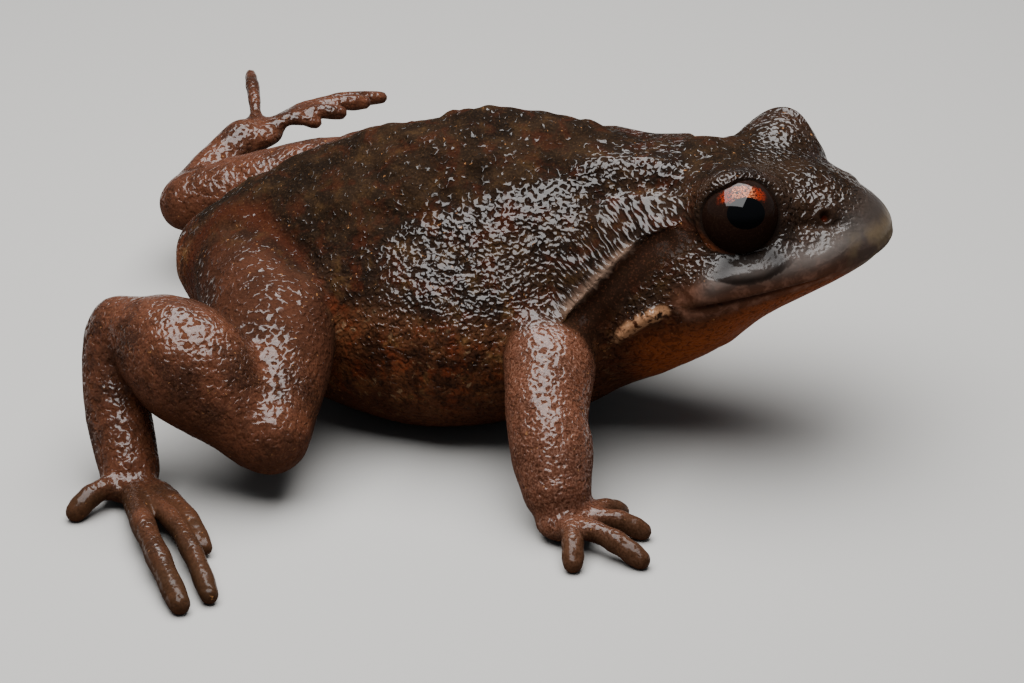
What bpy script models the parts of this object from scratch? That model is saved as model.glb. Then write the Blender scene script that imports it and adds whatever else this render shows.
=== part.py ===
"""A mountain frog at life size, as a still model in separate closed pieces.

Sizes and places are in millimetres and become metres where a mesh is made.
+X points to the snout, +Y to the frog's left and +Z up. The origin is on the floor, in the middle
of the flat on which the belly rests. The trunk and head are one loft, parted at the neck. Each limb
is a chain of tubes through its joints, and each piece is trimmed to face the one that it grows from.
"""

from math import cos, pi, radians, sin

import bmesh
import bpy
import numpy as np

MM = 0.001
GAP = 0.3  # clearance between pieces that meet

# The body loft: along, top, bottom, height of the widest point, half width, roundness above and below.
VENT = -11.8
SNOUT = 18.45
NECK = 7.4  # where head and torso part
BODY_ROWS = np.array([
    [VENT, 5.4, 5.4, 5.4, 0.0, 2.0, 2.0],
    [-10.6, 7.2, 3.2, 5.2, 2.8, 2.0, 2.0],
    [-8.6, 8.66, 1.9, 5.0, 4.0, 1.9, 2.1],
    [-6.0, 10.12, 0.6, 4.6, 5.2, 1.72, 2.2],
    [-3.0, 11.49, -0.1, 4.5, 6.4, 1.6, 2.3],
    [0.0, 12.6, -0.3, 4.6, 7.0, 1.52, 2.4],
    [2.0, 12.98, -0.1, 4.7, 6.95, 1.5, 2.3],
    [4.4, 12.67, 0.3, 5.2, 6.35, 1.52, 2.1],
    [6.0, 12.45, 0.6, 6.0, 5.7, 1.58, 2.0],
    [8.0, 12.21, 1.75, 6.8, 5.28, 1.65, 2.0],
    [10.0, 12.24, 2.9, 7.3, 5.4, 1.68, 2.05],
    [12.0, 12.54, 4.2, 7.75, 5.3, 1.62, 2.05],
    [14.0, 12.47, 5.95, 8.3, 4.7, 1.55, 1.95],
    [16.0, 11.82, 7.2, 8.9, 3.6, 1.55, 1.9],
    [17.4, 10.93, 8.1, 9.25, 2.5, 1.7, 1.9],
    [18.2, 10.05, 8.75, 9.35, 1.4, 2.0, 2.0],
    [SNOUT, 9.4, 9.4, 9.4, 0.0, 2.0, 2.0],
])
TORSO_STATIONS = 26
HEAD_STATIONS = 22
BODY_SIDES = 40
HEAD_TURN = radians(-3.0)  # the head looks a little to the frog's right
TURN_START = 5.0
TURN_END = 10.0

# The eye, its lids, nostril and mouth, for one side, as along, side and height.
EYE_AT = (13.05, 3.35, 10.95)
EYE_RADIUS = 1.6
ORBIT_AT = (12.95, 2.55, 10.72)
ORBIT_RADII = (2.25, 1.9, 1.95)
LID_RING = 1.62
LID_RADIUS = 0.26
LID_OUT = 0.6  # how far the ring of the lids lies outside the eye's centre
NOSTRIL_AT = (16.3, 2.1, 10.85)
NOSTRIL_RADIUS = 0.3
MOUTH_CORNER = 11.6
MOUTH_CORNER_HEIGHT = 7.55
MOUTH_TIP_HEIGHT = 9.0
MOUTH_RADIUS = 0.16

# Limbs: joints as x, y, z with the limb's radius there. The near leg stands, the far one is lifted.
LIMBS = {
    "upper_arm_right": [(5.3, -4.0, 5.6, 1.6), (5.95, -6.6, 4.9, 1.75), (6.2, -8.7, 4.05, 1.7)],
    "forearm_right": [(6.25, -9.0, 3.85, 1.62), (6.7, -10.0, 2.9, 1.68), (7.2, -11.1, 1.65, 1.4)],
    "upper_arm_left": [(5.2, 4.0, 5.6, 1.5), (5.0, 6.6, 4.9, 1.6), (4.6, 8.3, 4.1, 1.55)],
    "forearm_left": [(4.7, 8.5, 3.9, 1.45), (5.3, 8.9, 2.6, 1.5), (6.4, 9.4, 0.95, 1.3)],
    "thigh_right": [(-7.8, -2.4, 5.7, 2.6), (-5.8, -7.0, 4.8, 2.45), (-4.5, -11.4, 2.9, 1.75)],
    "shank_right": [(-5.1, -11.6, 2.9, 1.5), (-8.3, -10.6, 5.4, 2.45), (-11.4, -9.2, 5.9, 1.35)],
    "tarsus_right": [(-11.7, -9.4, 5.5, 1.3), (-11.2, -10.7, 2.9, 1.35), (-10.2, -12.3, 1.05, 1.25)],
    "thigh_left": [(-8.0, 2.2, 5.6, 2.2), (-6.9, 6.4, 5.6, 2.2), (-5.7, 10.2, 5.9, 1.4)],
    "shank_left": [(-5.9, 10.5, 5.5, 1.2), (-10.0, 9.8, 4.2, 1.85), (-14.25, 9.0, 3.3, 1.3)],
    "tarsus_left": [(-14.5, 9.4, 3.4, 0.95), (-13.9, 11.1, 3.85, 1.0), (-12.9, 13.0, 4.8, 1.0)],
}
LIMB_SAMPLES = 10
LIMB_RESOLUTION = 4
CAP_ANGLES = [radians(a) for a in (30, 58, 80)]

# Hands and feet: the palm, the way it points, and each digit as its turn from that, length,
# rise, bow (how much further its knuckle is turned) and girth.
PALM_RADII = (1.2, 1.2, 0.62)
DIGIT_ROOT_RADIUS = 0.55
DIGIT_ARCH = 0.25
DIGIT_JOINTS = [(0.4, 1.0, 1.0, 0.43), (0.75, 0.4, 0.35, 0.43), (1.0, -1.0, 0.0, 0.4)]  # share, lift, bow, radius
EXTREMITIES = {
    "hand_right": {"palm": (7.7, -11.9, 0.62), "heading": -14.0,
                   "digits": [(62, 2.7, 0, -6, 0.95), (24, 3.1, 0, 4, 0.95), (-14, 4.0, 0, -4, 1), (-56, 3.0, 0, 6, 1)]},
    "hand_left": {"palm": (6.8, 9.9, 0.62), "heading": 8.0,
                  "digits": [(-62, 2.7, 0, 6, 0.95), (-24, 3.1, 0, -4, 0.95), (14, 4.0, 0, 4, 1), (56, 3.0, 0, -6, 1)]},
    "foot_right": {"palm": (-10.05, -12.9, 0.64), "heading": -57.0,
                   "digits": [(42, 2.2, 0, 0, 0.9), (14.5, 6.0, 0, 13, 0.78), (3.3, 9.7, 0, 6.5, 0.95),
                              (-4.2, 10.1, 0, -3, 1.08), (-66, 2.75, 0, -3, 1.05)]},
    "foot_left": {"palm": (-12.4, 13.5, 5.0), "heading": 44.0,
                  "digits": [(-22, 2.6, 13, 0, 0.64), (-14, 3.8, 12, 2, 0.64), (-5, 5.2, 9, 4, 0.66),
                             (2, 6.4, 5, 8, 0.66), (66, 4.6, 15, 0, 0.62)]},
}

# Colour, roughness.
BODY_SKIN = ((0.030, 0.016, 0.011, 1), 0.28)
LIMB_SKIN = ((0.075, 0.028, 0.018, 1), 0.26)
EYE_SURFACE = ((0.012, 0.005, 0.004, 1), 0.05)


def clear_scene():
    for thing in list(bpy.data.objects):
        bpy.data.objects.remove(thing, do_unlink=True)


def new_collection(name):
    made = bpy.data.collections.new(name)
    bpy.context.scene.collection.children.link(made)
    return made


def link(name, mesh, place=(0, 0, 0)):
    """A new object at a place in millimetres, among the pieces still to be combined."""
    made = bpy.data.objects.new(name, mesh)
    made.location = np.array(place, float) * MM
    WORK.objects.link(made)
    return made


def finish(piece, surface):
    """Moves a finished piece to the frog's collection, under its root, with its own material."""
    colour, roughness = surface
    material = bpy.data.materials.new(piece.name)
    material.use_nodes = True
    shader = material.node_tree.nodes["Principled BSDF"]
    shader.inputs["Base Color"].default_value = colour
    shader.inputs["Roughness"].default_value = roughness
    shader.inputs["Metallic"].default_value = 0.0
    piece.data.materials.clear()
    piece.data.materials.append(material)
    piece.data.shade_smooth()
    piece.data.set_sharp_from_angle(angle=radians(50))
    WORK.objects.unlink(piece)
    FROG.objects.link(piece)
    piece.parent = ROOT


def through(knots, values, at):
    """A smooth curve through the values at the knots, read at other places."""
    slopes = np.gradient(values, knots, axis=0)
    left = np.clip(np.searchsorted(knots, at, side="right") - 1, 0, len(knots) - 2)
    span = (knots[left + 1] - knots[left])[:, None]
    t = (at - knots[left])[:, None] / span
    return (
        values[left] * (1 + 2 * t) * (1 - t) ** 2
        + values[left + 1] * t * t * (3 - 2 * t)
        + slopes[left] * span * t * (1 - t) ** 2
        + slopes[left + 1] * span * t * t * (t - 1)
    )


def round_angle(along):
    """Along the body as an angle from 0 at the vent to pi at the snout, so that both ends come out round."""
    share = (np.asarray(along, float) - VENT) / (SNOUT - VENT)
    return np.arccos(np.clip(1 - 2 * share, -1, 1))


def body_rows(along):
    """Top, bottom, widest height, half width and the two roundnesses at each place along the body."""
    return through(round_angle(BODY_ROWS[:, 0]), BODY_ROWS[:, 1:], round_angle(along))


def section(row, angles, grow):
    """Side and height of a section's points: a superellipse with its own upper and lower half."""
    top, bottom, widest, half, up_power, low_power = row
    upper = np.sin(angles) >= 0
    power = np.where(upper, up_power, low_power)
    reach = np.where(upper, top - widest, widest - bottom) + grow
    side = (half + grow) * np.sign(np.cos(angles)) * np.abs(np.cos(angles)) ** (2 / power)
    height = widest + reach * np.sign(np.sin(angles)) * np.abs(np.sin(angles)) ** (2 / power)
    return side, height


def turn_at(along):
    t = np.clip((along - TURN_START) / (TURN_END - TURN_START), 0, 1)
    return HEAD_TURN * t * t * (3 - 2 * t)


SPINE_STEP = 0.02
SPINE_ALONG = np.arange(VENT - 2, SNOUT + 4, SPINE_STEP)
SPINE_SIDE = np.cumsum(np.tan(turn_at(SPINE_ALONG))) * SPINE_STEP


def bend(points):
    """Turns the head: a straight point (along, side, height) to its place beside the turning spine."""
    along, side, height = np.asarray(points, float).T
    angle = turn_at(along)
    middle = np.interp(along, SPINE_ALONG, SPINE_SIDE)
    return np.stack([along - side * np.sin(angle), middle + side * np.cos(angle), height], axis=-1)


def body_loft(name, start, end, stations, grow=0.0):
    """The body's skin between two places along it, closed by a pole at a round end and a cap at a cut one."""
    angle = np.linspace(round_angle(start), round_angle(end), stations)
    along = VENT + (SNOUT - VENT) * (1 - np.cos(angle)) / 2
    around = np.linspace(0, 2 * pi, BODY_SIDES, endpoint=False)
    points, rings = [], []
    for place, row in zip(along, body_rows(along)):
        if row[3] < 0.01 and not grow:
            rings.append([len(points)])
            points.append((place, 0.0, row[2]))
            continue
        side, height = section(row, around, grow)
        outward = -grow if place == along[0] else grow if place == along[-1] else 0.0
        rings.append(list(range(len(points), len(points) + BODY_SIDES)))
        points += [(place + outward, s, h) for s, h in zip(side, height)]
    faces = []
    for first, second in zip(rings, rings[1:]):
        for k in range(BODY_SIDES):
            a, b = first[k % len(first)], first[(k + 1) % BODY_SIDES % len(first)]
            c, d = second[(k + 1) % BODY_SIDES % len(second)], second[k % len(second)]
            faces.append([p for i, p in enumerate((a, b, c, d)) if p not in (a, b, c, d)[:i]])
    faces += [ring for ring in (rings[0], rings[-1]) if len(ring) > 1]
    mesh = bpy.data.meshes.new(name)
    mesh.from_pydata([tuple(p) for p in bend(points) * MM], [], faces)
    clean(mesh)
    return link(name, mesh)


def clean(mesh):
    """Welds doubled corners and turns all faces outward."""
    work = bmesh.new()
    work.from_mesh(mesh)
    bmesh.ops.remove_doubles(work, verts=work.verts, dist=0.00001)
    bmesh.ops.recalc_face_normals(work, faces=work.faces)
    work.to_mesh(mesh)
    work.free()


def tube(name, joints, samples=LIMB_SAMPLES, resolution=LIMB_RESOLUTION, grow=0.0):
    """A round limb through its joints, each x, y, z and radius, with rounded ends."""
    joints = np.array(joints, float)
    knots = np.concatenate([[0], np.cumsum(np.linalg.norm(np.diff(joints[:, :3], axis=0), axis=1))])
    run = through(knots, joints, np.linspace(0, knots[-1], samples))
    run[:, 3] += grow
    back = (run[0, :3] - run[1, :3]) / np.linalg.norm(run[0, :3] - run[1, :3])
    ahead = (run[-1, :3] - run[-2, :3]) / np.linalg.norm(run[-1, :3] - run[-2, :3])
    first = [[*(run[0, :3] + back * run[0, 3] * sin(a)), run[0, 3] * cos(a)] for a in reversed(CAP_ANGLES)]
    last = [[*(run[-1, :3] + ahead * run[-1, 3] * sin(a)), run[-1, 3] * cos(a)] for a in CAP_ANGLES]
    run = np.array([*first, *run, *last])
    run[:, :3] -= joints[0, :3]
    curve = bpy.data.curves.new(name, "CURVE")
    curve.dimensions = "3D"
    curve.bevel_depth = MM
    curve.bevel_resolution = resolution
    curve.use_fill_caps = True
    line = curve.splines.new("POLY")
    line.points.add(len(run) - 1)
    for point, (x, y, z, radius) in zip(line.points, run):
        point.co = (x * MM, y * MM, z * MM, 1)
        point.radius = radius
    drawn = link(name + "_curve", curve, joints[0, :3])
    bpy.context.view_layer.update()
    mesh = bpy.data.meshes.new_from_object(drawn.evaluated_get(bpy.context.evaluated_depsgraph_get()))
    clean(mesh)
    made = link(name, mesh)
    made.matrix_world = drawn.matrix_world
    bpy.data.objects.remove(drawn)
    return made


def ball(name, centre, radii, segments=24, rings=14):
    """An ellipsoid of the given radii, centred at a place."""
    mesh = bpy.data.meshes.new(name)
    work = bmesh.new()
    bmesh.ops.create_uvsphere(work, u_segments=segments, v_segments=rings, radius=MM)
    bmesh.ops.scale(work, verts=work.verts, vec=radii)
    work.to_mesh(mesh)
    work.free()
    return link(name, mesh, centre)


def on_head(place, side):
    """The place of something on the head, for the left side (1) or the right (-1)."""
    return bend([np.array(place) * (1, side, 1)])[0]


def lid_ring(name, side):
    """The rim of the lids: a ring round the part of the eye that shows."""
    bpy.ops.mesh.primitive_torus_add(
        major_radius=LID_RING * MM, minor_radius=LID_RADIUS * MM, major_segments=26, minor_segments=8
    )
    made = bpy.context.object
    made.name = name
    made.location = on_head(np.add(EYE_AT, (0, LID_OUT, 0)), side) * MM
    made.rotation_euler = (pi / 2, 0, HEAD_TURN)
    for holder in list(made.users_collection):
        holder.objects.unlink(made)
    WORK.objects.link(made)
    return made


def combine(target, others, operation):
    """One Boolean of the target with all the others, which are then removed."""
    for other in others:
        WORK.objects.unlink(other)
        CUTTERS.objects.link(other)
        other.display_type = "WIRE"
        other.hide_render = True
    modifier = target.modifiers.new("shape", "BOOLEAN")
    modifier.operand_type = "COLLECTION"
    modifier.collection = CUTTERS
    modifier.operation = operation
    modifier.solver = "EXACT"
    bpy.context.view_layer.update()
    mesh = bpy.data.meshes.new_from_object(target.evaluated_get(bpy.context.evaluated_depsgraph_get()))
    target.modifiers.clear()
    target.data = mesh
    for other in others:
        bpy.data.objects.remove(other)
    keep_largest(mesh)


def keep_largest(mesh):
    """Drops all but the largest closed surface."""
    work = bmesh.new()
    work.from_mesh(mesh)
    bmesh.ops.remove_doubles(work, verts=work.verts, dist=0.000002)
    waiting, groups = set(work.verts), []
    while waiting:
        group, edge = set(), [waiting.pop()]
        while edge:
            vertex = edge.pop()
            group.add(vertex)
            for other in (e.other_vert(vertex) for e in vertex.link_edges):
                if other in waiting:
                    waiting.discard(other)
                    edge.append(other)
        groups.append(group)
    largest = max(groups, key=len)
    bmesh.ops.delete(work, geom=[v for g in groups if g is not largest for v in g], context="VERTS")
    work.to_mesh(mesh)
    work.free()


def floor_cutter():
    """A block whose top is the floor."""
    mesh = bpy.data.meshes.new("floor_block")
    work = bmesh.new()
    bmesh.ops.create_cube(work, size=0.08)
    work.to_mesh(mesh)
    work.free()
    return link("floor_block", mesh, (0, 0, -40))


def side_of_head(along, height):
    """How far out the head's surface is at a height."""
    top, bottom, widest, half, up_power, low_power = body_rows(np.array([along]))[0]
    reach, power = (top - widest, up_power) if height >= widest else (widest - bottom, low_power)
    return half * (1 - min(abs(height - widest) / reach, 1) ** power) ** (1 / power)


def mouth_path():
    """The line of the mouth from one corner round the snout to the other."""
    path = []
    for t in np.linspace(-1, 1, 41):
        along = SNOUT - 0.02 - (SNOUT - MOUTH_CORNER) * abs(t) ** 1.7
        share = (along - MOUTH_CORNER) / (SNOUT - MOUTH_CORNER)
        height = MOUTH_CORNER_HEIGHT + (MOUTH_TIP_HEIGHT - MOUTH_CORNER_HEIGHT) * share
        path.append((along, np.sign(t) * side_of_head(along, height), height))
    return bend(path)


def make_torso():
    torso = body_loft("torso", VENT, NECK, TORSO_STATIONS)
    combine(torso, [floor_cutter()], "DIFFERENCE")
    return torso


def make_head():
    head = body_loft("head", NECK + GAP, SNOUT, HEAD_STATIONS)
    grown, cuts = [], []
    for name, side in (("right", -1), ("left", 1)):
        grown.append(ball("orbit_" + name, on_head(ORBIT_AT, side), ORBIT_RADII))
        grown.append(lid_ring("lid_" + name, side))
    combine(head, grown, "UNION")
    for name, side in (("right", -1), ("left", 1)):
        cuts.append(ball("socket_" + name, on_head(EYE_AT, side), (EYE_RADIUS + GAP,) * 3))
        cuts.append(ball("nostril_" + name, on_head(NOSTRIL_AT, side), (NOSTRIL_RADIUS,) * 3, 10, 6))
    cuts.append(tube("mouth", [(*p, MOUTH_RADIUS) for p in mouth_path()], 44, 1))
    combine(head, cuts, "DIFFERENCE")
    return head


def make_eye(name, side):
    return ball(name, on_head(EYE_AT, side), (EYE_RADIUS,) * 3, 24, 12)


def digit_paths(spec):
    """Each digit as joints with radii, from inside the palm to its tip."""
    start = np.array(spec["palm"])
    for turn, length, rise, bow, girth in spec["digits"]:
        path = [(*start, DIGIT_ROOT_RADIUS * min(girth * 1.1, 1))]
        for share, lift, bent, radius in DIGIT_JOINTS:
            heading = radians(spec["heading"] + turn + bow * bent)
            step = np.array([cos(heading), sin(heading), sin(radians(rise))]) * length * share
            path.append((*(start + step + (0, 0, DIGIT_ARCH * lift)), radius * girth))
        yield path


def make_extremity(name, spec):
    palm = ball(name, spec["palm"], PALM_RADII, 16, 8)
    combine(palm, [tube(f"{name}_{k}", path, 8, 2) for k, path in enumerate(digit_paths(spec))], "UNION")
    return palm


def make_limb_piece(name, neighbours, on_floor):
    """One piece of a limb, trimmed back from what it meets and from the floor."""
    piece = make_extremity(name, EXTREMITIES[name]) if name in EXTREMITIES else tube(name, LIMBS[name])
    cutters = [floor_cutter()] if on_floor else []
    for other in neighbours:
        if other == "torso":
            cutters.append(body_loft("trim_torso", VENT, NECK, TORSO_STATIONS, GAP))
        elif other == "head":
            cutters.append(body_loft("trim_head", NECK + GAP, SNOUT, HEAD_STATIONS, GAP))
        else:
            cutters.append(tube("trim_" + other, LIMBS[other], grow=GAP))
    combine(piece, cutters, "DIFFERENCE")
    return piece


clear_scene()
FROG = new_collection("mountain_frog")
WORK = new_collection("work")
CUTTERS = new_collection("cutters")
CUTTERS.hide_render = True
ROOT = bpy.data.objects.new("frog_root", None)
FROG.objects.link(ROOT)

finish(make_torso(), BODY_SKIN)
finish(make_head(), BODY_SKIN)
finish(make_eye("eye_right", -1), EYE_SURFACE)
finish(make_eye("eye_left", 1), EYE_SURFACE)
for side in ("right", "left"):
    stands = side == "right"
    finish(make_limb_piece(f"upper_arm_{side}", ["torso", "head"], False), LIMB_SKIN)
    finish(make_limb_piece(f"forearm_{side}", [f"upper_arm_{side}", "torso"], True), LIMB_SKIN)
    finish(make_limb_piece(f"hand_{side}", [f"forearm_{side}"], True), LIMB_SKIN)
    finish(make_limb_piece(f"thigh_{side}", ["torso"], False), LIMB_SKIN)
    finish(make_limb_piece(f"shank_{side}", [f"thigh_{side}", "torso"], False), LIMB_SKIN)
    finish(make_limb_piece(f"tarsus_{side}", [f"shank_{side}"], stands), LIMB_SKIN)
    finish(make_limb_piece(f"foot_{side}", [f"tarsus_{side}", f"shank_{side}"], stands), LIMB_SKIN)
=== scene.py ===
# A wet mountain frog at life size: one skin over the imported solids, with two glossy eyes.
# Shapes are worked out in millimetres and turned into metres when a mesh is made.

import math
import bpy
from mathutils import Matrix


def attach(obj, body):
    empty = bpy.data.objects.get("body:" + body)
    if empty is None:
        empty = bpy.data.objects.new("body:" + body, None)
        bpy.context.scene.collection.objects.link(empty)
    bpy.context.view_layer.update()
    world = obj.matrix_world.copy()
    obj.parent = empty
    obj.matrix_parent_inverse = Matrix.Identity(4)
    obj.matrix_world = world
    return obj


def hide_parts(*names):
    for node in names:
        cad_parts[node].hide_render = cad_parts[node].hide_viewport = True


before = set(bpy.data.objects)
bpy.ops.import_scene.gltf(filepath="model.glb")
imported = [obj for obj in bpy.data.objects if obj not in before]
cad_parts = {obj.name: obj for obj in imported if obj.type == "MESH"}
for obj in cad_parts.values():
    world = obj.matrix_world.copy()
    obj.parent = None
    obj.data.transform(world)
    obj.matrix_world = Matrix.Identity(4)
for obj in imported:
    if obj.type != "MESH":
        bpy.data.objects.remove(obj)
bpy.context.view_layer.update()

from types import SimpleNamespace

import bpy
import numpy as np

mm = 0.001

# the camera stands where the photo was taken from, the soft box hangs over the back
viewForm = {
    "target": (2.6, 0.0, 2.6),
    "azimuth": 14.0,
    "elevation": 25.0,
    "distance": 220.0,
    "pixelsPerMm": 24.0,
    "boxCentre": (-6.0, -3.0, 102.0),
    "boxSize": (104.0, 154.0),
    "boxPower": 0.50,
    "worldColour": (0.80, 0.86, 0.92),
    "worldStrength": 0.16,
    "floorColour": (0.31, 0.302, 0.29),
}


def linked(name, data):
    # a new object in the scene
    made = bpy.data.objects.new(name, data)
    bpy.context.scene.collection.objects.link(made)
    return made


def lookAt(thing, place, target):
    # turns a camera or lamp so that its -Z axis runs from its place to the target
    place, target = np.array(place, float), np.array(target, float)
    ahead = (target - place) / np.linalg.norm(target - place)
    thing.location = place * mm
    thing.rotation_euler = (math.acos(-ahead[2]), 0.0, math.atan2(ahead[1], ahead[0]) - math.pi / 2)


def addLamp(name, size, power, place, target):
    lamp = bpy.data.lights.new(name, "AREA")
    lamp.shape = "RECTANGLE"
    lamp.size, lamp.size_y = size[0] * mm, size[1] * mm
    lamp.energy = power
    lookAt(linked(name, lamp), place, target)


def makeView(form):
    # towards the camera: (sin a cos e, -cos a cos e, sin e)
    azimuth, elevation = math.radians(form["azimuth"]), math.radians(form["elevation"])
    toCamera = np.array([math.sin(azimuth) * math.cos(elevation),
                         -math.cos(azimuth) * math.cos(elevation), math.sin(elevation)])
    lens = bpy.data.cameras.new("photoCamera")
    lens.sensor_width = 36.0
    lens.lens = 36.0 * form["distance"] * form["pixelsPerMm"] / 1024
    lens.clip_start, lens.clip_end = 0.01, 10.0
    camera = linked("photoCamera", lens)
    lookAt(camera, np.array(form["target"]) + toCamera * form["distance"], form["target"])
    bpy.context.scene.camera = camera
    addLamp("softBox", form["boxSize"], form["boxPower"], form["boxCentre"],
            (form["boxCentre"][0], form["boxCentre"][1] + 0.001, 0.0))
    world = bpy.data.worlds.new("dimStudio")
    world.use_nodes = True
    backdrop = world.node_tree.nodes["Background"]
    backdrop.inputs["Color"].default_value = (*form["worldColour"], 1)
    backdrop.inputs["Strength"].default_value = form["worldStrength"]
    bpy.context.scene.world = world


class Wire:
    # one output of a material's nodes: operators on it add Math nodes
    def __init__(self, surface, socket):
        self.surface, self.socket = surface, socket

    def math(self, operation, *others, clamp=False):
        return self.surface.node("ShaderNodeMath", {"operation": operation, "use_clamp": clamp},
                                 dict(enumerate((self, *others))))

    def flipped(self, operation, other):
        return self.surface.node("ShaderNodeMath", {"operation": operation}, {0: other, 1: self})

    def __add__(self, other):
        return self.math("ADD", other)

    def __radd__(self, other):
        return self.flipped("ADD", other)

    def __sub__(self, other):
        return self.math("SUBTRACT", other)

    def __rsub__(self, other):
        return self.flipped("SUBTRACT", other)

    def __mul__(self, other):
        return self.math("MULTIPLY", other)

    def __rmul__(self, other):
        return self.flipped("MULTIPLY", other)

    def __truediv__(self, other):
        return self.math("DIVIDE", other)

    def __pow__(self, other):
        return self.math("POWER", other)

    def __abs__(self):
        return self.math("ABSOLUTE")

    def clamped(self):
        return self.math("ADD", 0.0, clamp=True)

    def most(self, other):
        return self.math("MAXIMUM", other)

    def ramp(self, start, end):
        # a smooth step from 0 at start to 1 at end, either way round
        made = self.surface.node("ShaderNodeMapRange", {"interpolation_type": "SMOOTHSTEP"},
                                 {"Value": self, "From Min": min(start, end), "From Max": max(start, end)})
        return made if start < end else 1 - made


class Surface:
    # a material of its own, and the one method that adds nodes to it
    def __init__(self, name):
        self.material = bpy.data.materials.new(name)
        self.material.use_nodes = True
        self.tree = self.material.node_tree
        self.shader = self.tree.nodes["Principled BSDF"]
        self.end = self.tree.nodes["Material Output"]

    def node(self, kind, settings=None, inputs=None, output=0):
        made = self.tree.nodes.new(kind)
        for key, value in (settings or {}).items():
            setattr(made, key, value)
        for key, value in (inputs or {}).items():
            if isinstance(value, Wire):
                self.tree.links.new(value.socket, made.inputs[key])
            else:
                made.inputs[key].default_value = value
        return Wire(self, made.outputs[output])

    def feed(self, name, value):
        if isinstance(value, Wire):
            self.tree.links.new(value.socket, self.shader.inputs[name])
        else:
            self.shader.inputs[name].default_value = value

    def over(self, share, under):
        # the main shader laid over another one by a share
        main = Wire(self, self.shader.outputs[0])
        mixed = self.node("ShaderNodeMixShader", {}, {0: share, 1: under, 2: main})
        self.tree.links.new(mixed.socket, self.end.inputs["Surface"])

    def attribute(self, name, output="Fac"):
        return self.node("ShaderNodeAttribute", {"attribute_name": name}, {}, output)

    def place(self):
        return self.node("ShaderNodeTexCoord", {}, {}, "Object")

    def noise(self, where, perMm, detail=2.0, roughness=0.5, distortion=0.0):
        return self.node("ShaderNodeTexNoise", {}, {
            "Vector": where, "Scale": perMm / mm, "Detail": detail,
            "Roughness": roughness, "Distortion": distortion,
        }, "Fac")

    def blend(self, share, first, second):
        # first + (second - first) share
        return first + (second - first) * share

    def mix(self, share, first, second):
        first = first if isinstance(first, Wire) else (*first, 1)
        second = second if isinstance(second, Wire) else (*second, 1)
        return self.node("ShaderNodeMix", {"data_type": "RGBA"}, {0: share, 6: first, 7: second}, 2)

    def layered(self, form, colour, *layers):
        # each (share, colour or its name in the form) laid over the ones before it
        for share, over in layers:
            colour = self.mix(share, colour, form[over] if isinstance(over, str) else over)
        return colour

    def bump(self, height, distance, normal=None):
        inputs = {"Height": height, "Distance": distance * mm, "Strength": 1.0}
        if normal is not None:
            inputs["Normal"] = normal
        return self.node("ShaderNodeBump", {}, inputs)


# rows: along, top, bottom, height of the widest point, half width, roundness above and below
bodyForm = {
    "vent": -11.8,
    "snout": 18.45,
    "rows": np.array([
        [-11.8, 5.4, 5.4, 5.4, 0.0, 2.0, 2.0],
        [-10.6, 7.2, 3.2, 5.2, 2.8, 2.0, 2.0],
        [-8.6, 8.66, 1.9, 5.0, 4.0, 1.9, 2.1],
        [-6.0, 10.12, 0.6, 4.6, 5.2, 1.72, 2.2],
        [-3.0, 11.49, -0.1, 4.5, 6.4, 1.6, 2.3],
        [0.0, 12.6, -0.3, 4.6, 7.0, 1.52, 2.4],
        [2.0, 12.98, -0.1, 4.7, 6.95, 1.5, 2.3],
        [4.4, 12.67, 0.3, 5.2, 6.35, 1.52, 2.1],
        [6.0, 12.45, 0.6, 6.0, 5.7, 1.58, 2.0],
        [8.0, 12.21, 1.75, 6.8, 5.28, 1.65, 2.0],
        [10.0, 12.24, 2.9, 7.3, 5.4, 1.68, 2.05],
        [12.0, 12.54, 4.2, 7.75, 5.3, 1.62, 2.05],
        [14.0, 12.47, 5.95, 8.3, 4.7, 1.55, 1.95],
        [16.0, 11.82, 7.2, 8.9, 3.6, 1.55, 1.9],
        [17.4, 10.93, 8.1, 9.25, 2.5, 1.7, 1.9],
        [18.2, 10.05, 8.75, 9.35, 1.4, 2.0, 2.0],
        [18.45, 9.4, 9.4, 9.4, 0.0, 2.0, 2.0],
    ]),
    "turn": math.radians(-3.0),
    "turnStart": 5.0,
    "turnEnd": 10.0,
    "along": 190,
    "around": 150,
}


def through(knots, values, at):
    # cubic curve through the values at the knots, its slopes taken from the neighbours
    slopes = np.gradient(values, knots, axis=0)
    left = np.clip(np.searchsorted(knots, at, side="right") - 1, 0, len(knots) - 2)
    span = (knots[left + 1] - knots[left])[:, None]
    t = (at - knots[left])[:, None] / span
    return (values[left] * (1 + 2 * t) * (1 - t) ** 2 + values[left + 1] * t * t * (3 - 2 * t)
            + slopes[left] * span * t * (1 - t) ** 2 + slopes[left + 1] * span * t * t * (t - 1))


def roundAngle(along):
    # along the body as an angle, 0 at the vent and pi at the snout: arccos(1 - 2 share)
    share = (np.asarray(along, float) - bodyForm["vent"]) / (bodyForm["snout"] - bodyForm["vent"])
    return np.arccos(np.clip(1 - 2 * share, -1, 1))


def bodyRow(along):
    rows = bodyForm["rows"]
    return through(roundAngle(rows[:, 0]), rows[:, 1:], roundAngle(np.atleast_1d(along)))


def step(value, start, end):
    # smooth step from 0 at start to 1 at end: 3t^2 - 2t^3
    t = np.clip((value - start) / (end - start), 0, 1)
    return t * t * (3 - 2 * t)


def turnAt(along):
    # the spine's turn so far: the whole turn times a smooth step over the neck
    return bodyForm["turn"] * step(along, bodyForm["turnStart"], bodyForm["turnEnd"])


spineStep = 0.02
spineAlong = np.arange(-16.0, 24.0, spineStep)
spineSide = np.cumsum(np.tan(turnAt(spineAlong))) * spineStep


def bend(points):
    # straight (along, side, height) to its place beside the turning spine
    along, side, height = np.moveaxis(np.asarray(points, float), -1, 0)
    angle = turnAt(along)
    return np.stack([along - side * np.sin(angle),
                     np.interp(along, spineAlong, spineSide) + side * np.cos(angle), height], axis=-1)


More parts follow.
